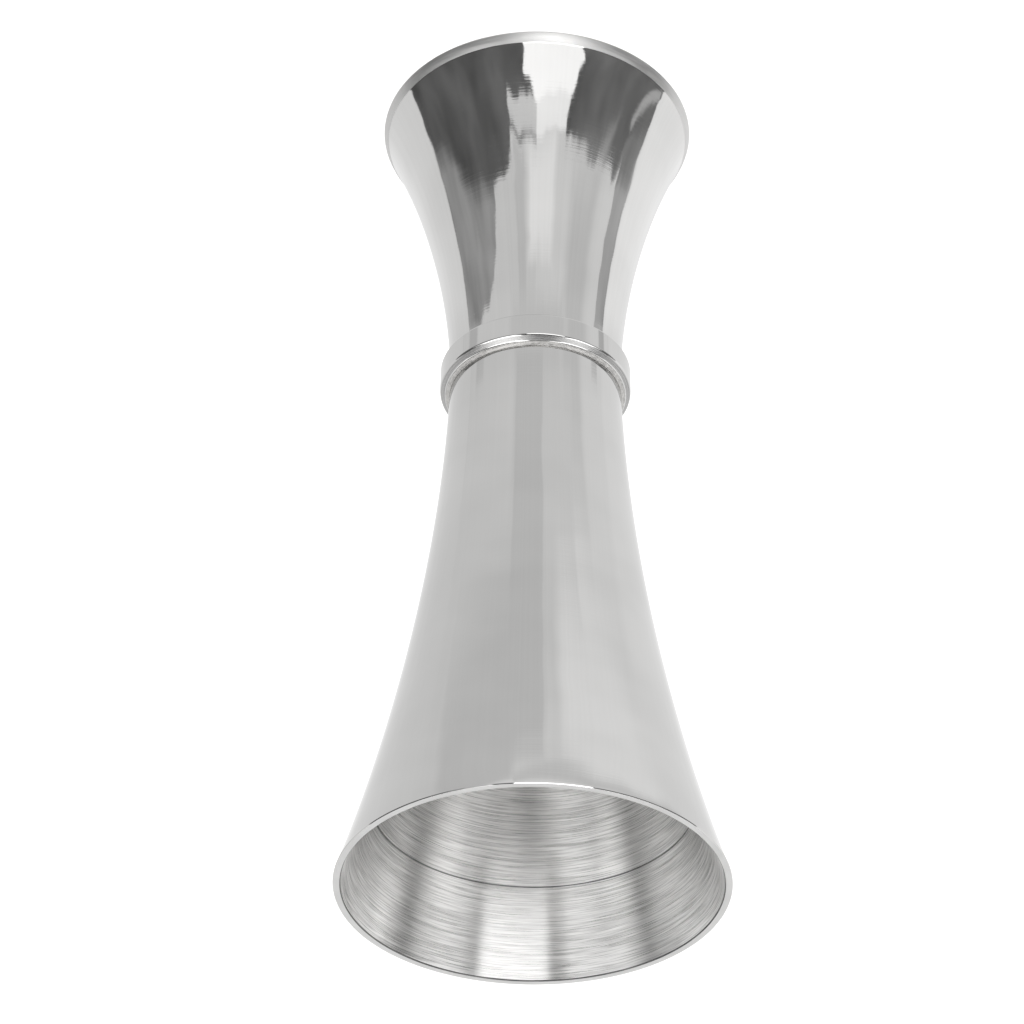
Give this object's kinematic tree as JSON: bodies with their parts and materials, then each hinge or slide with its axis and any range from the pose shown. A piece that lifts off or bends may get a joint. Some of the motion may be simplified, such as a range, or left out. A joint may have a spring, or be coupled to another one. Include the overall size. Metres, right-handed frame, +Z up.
{
  "type": "bar jigger",
  "caption": "Double-ended bar jigger: two polished bell-shaped cups joined at a narrow waist band, brushed inside, with an engraved fill line.",
  "frame": {"origin": "centre of the base, in the plane of the small cup's rim, on which the jigger stands", "axes": "+Z up along the axis, from the small cup to the large cup; X and Y are any two horizontal directions, because the jigger is round"},
  "size_m": [0.0464, 0.0464, 0.1165],
  "materials": {
    "cup_steel": "polished",
    "band_steel": "polished",
    "brazing_alloy": "satin"
  },
  "bodies": {
    "root": {"large_cup": "cup_steel", "small_cup": "cup_steel", "waist_band": "band_steel", "brazed_joint": "brazing_alloy", "upper_bead": "brazing_alloy", "lower_bead": "brazing_alloy"}
  },
  "joints": []
}
